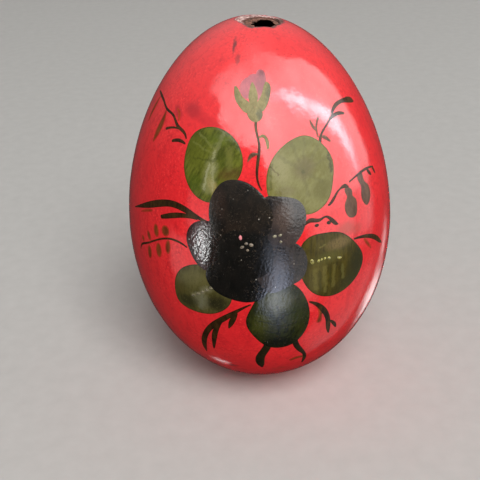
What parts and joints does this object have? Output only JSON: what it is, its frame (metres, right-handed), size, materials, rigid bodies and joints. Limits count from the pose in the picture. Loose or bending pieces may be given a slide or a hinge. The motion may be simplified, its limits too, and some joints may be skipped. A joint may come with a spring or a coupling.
{
  "type": "painted decorated egg",
  "caption": "Blown hen's egg lacquered glossy red and brush-painted with a dark flower, leaves, sprigs and a rosebud, with a ragged blow-hole in its narrow end.",
  "frame": {"origin": "lowest point of the blunt end, where the egg sits in its stand", "axes": "+Z along the egg's long axis towards the narrow end with the blow-hole; the painted flower faces -Y; +X is to the viewer's right"},
  "size_m": [0.044, 0.0441, 0.0627],
  "materials": {
    "shell": "matt white eggshell, stained pink at the broken rim",
    "membrane": "dried brown membrane",
    "lacquer_red": "glossy scarlet lacquer under clear varnish",
    "paint_black": "glossy near-black paint",
    "paint_maroon": "glossy dark maroon paint",
    "paint_olive": "glossy streaked olive paint",
    "paint_sage": "glossy sage green paint",
    "paint_moss": "glossy moss green paint",
    "paint_forest": "glossy dark green paint",
    "paint_brown": "thin olive-brown brush line",
    "paint_rust": "thin rusty glaze",
    "paint_grey": "thin grey-brown glaze",
    "paint_mauve": "pale mauve paint",
    "paint_sepal": "pale olive paint",
    "paint_yellow": "pale yellow dots",
    "paint_cream": "cream dots",
    "paint_pink": "pink dot"
  },
  "bodies": {
    "root": {"eggshell": "shell", "shell_membrane": "membrane", "ground_coat": "lacquer_red", "petal_left": "paint_maroon", "petal_bottom": "paint_black", "petal_lower_right": "paint_black", "petal_upper_right": "paint_black", "petal_top": "paint_black", "flower_eye": "paint_black", "stamen_pink": "paint_pink", "stamens_middle": "paint_cream", "stamens_right": "paint_cream", "leaf_upper_left": "paint_olive", "leaf_upper_right": "paint_sage", "leaf_right": "paint_moss", "leaf_lower": "paint_forest", "leaf_left": "paint_moss", "dots_leaf_right": "paint_yellow", "dots_leaf_left": "paint_cream", "bud_petal_left": "paint_mauve", "bud_petal_middle": "paint_mauve", "bud_petal_right": "paint_mauve", "bud_sepal_left": "paint_sepal", "bud_sepal_middle": "paint_sepal", "bud_sepal_right": "paint_sepal", "bud_receptacle": "paint_sepal", "bud_stem": "paint_brown", "bud_leaflet_right": "paint_sepal", "bud_leaflet_left": "paint_rust", "vine_stem": "paint_brown", "vine_blade": "paint_brown", "vine_dash": "paint_brown", "vine_twig": "paint_rust", "vine_pendant_near": "paint_rust", "vine_pendant_far": "paint_rust", "grass_left_long": "paint_brown", "grass_left_short": "paint_brown", "grass_left_faint": "paint_rust", "fern_stem": "paint_brown", "fern_leaflets_upper": "paint_rust", "fern_leaflets_lower": "paint_rust", "grass_lower_left_outer": "paint_brown", "grass_lower_left_inner": "paint_brown", "grass_lower_left_small": "paint_brown", "root_left": "paint_forest", "root_right": "paint_forest", "root_stub": "paint_rust", "grass_lower_right_main": "paint_brown", "grass_lower_right_inner": "paint_rust", "grass_lower_right_side": "paint_brown", "grass_right_main": "paint_brown", "grass_right_side": "paint_rust", "tendril": "paint_brown", "pod_near": "paint_grey", "pod_near_stalk": "paint_brown", "pod_far": "paint_grey", "pod_far_stalk": "paint_brown", "spray_blades": "paint_brown", "spray_twigs": "paint_grey"}
  },
  "joints": []
}
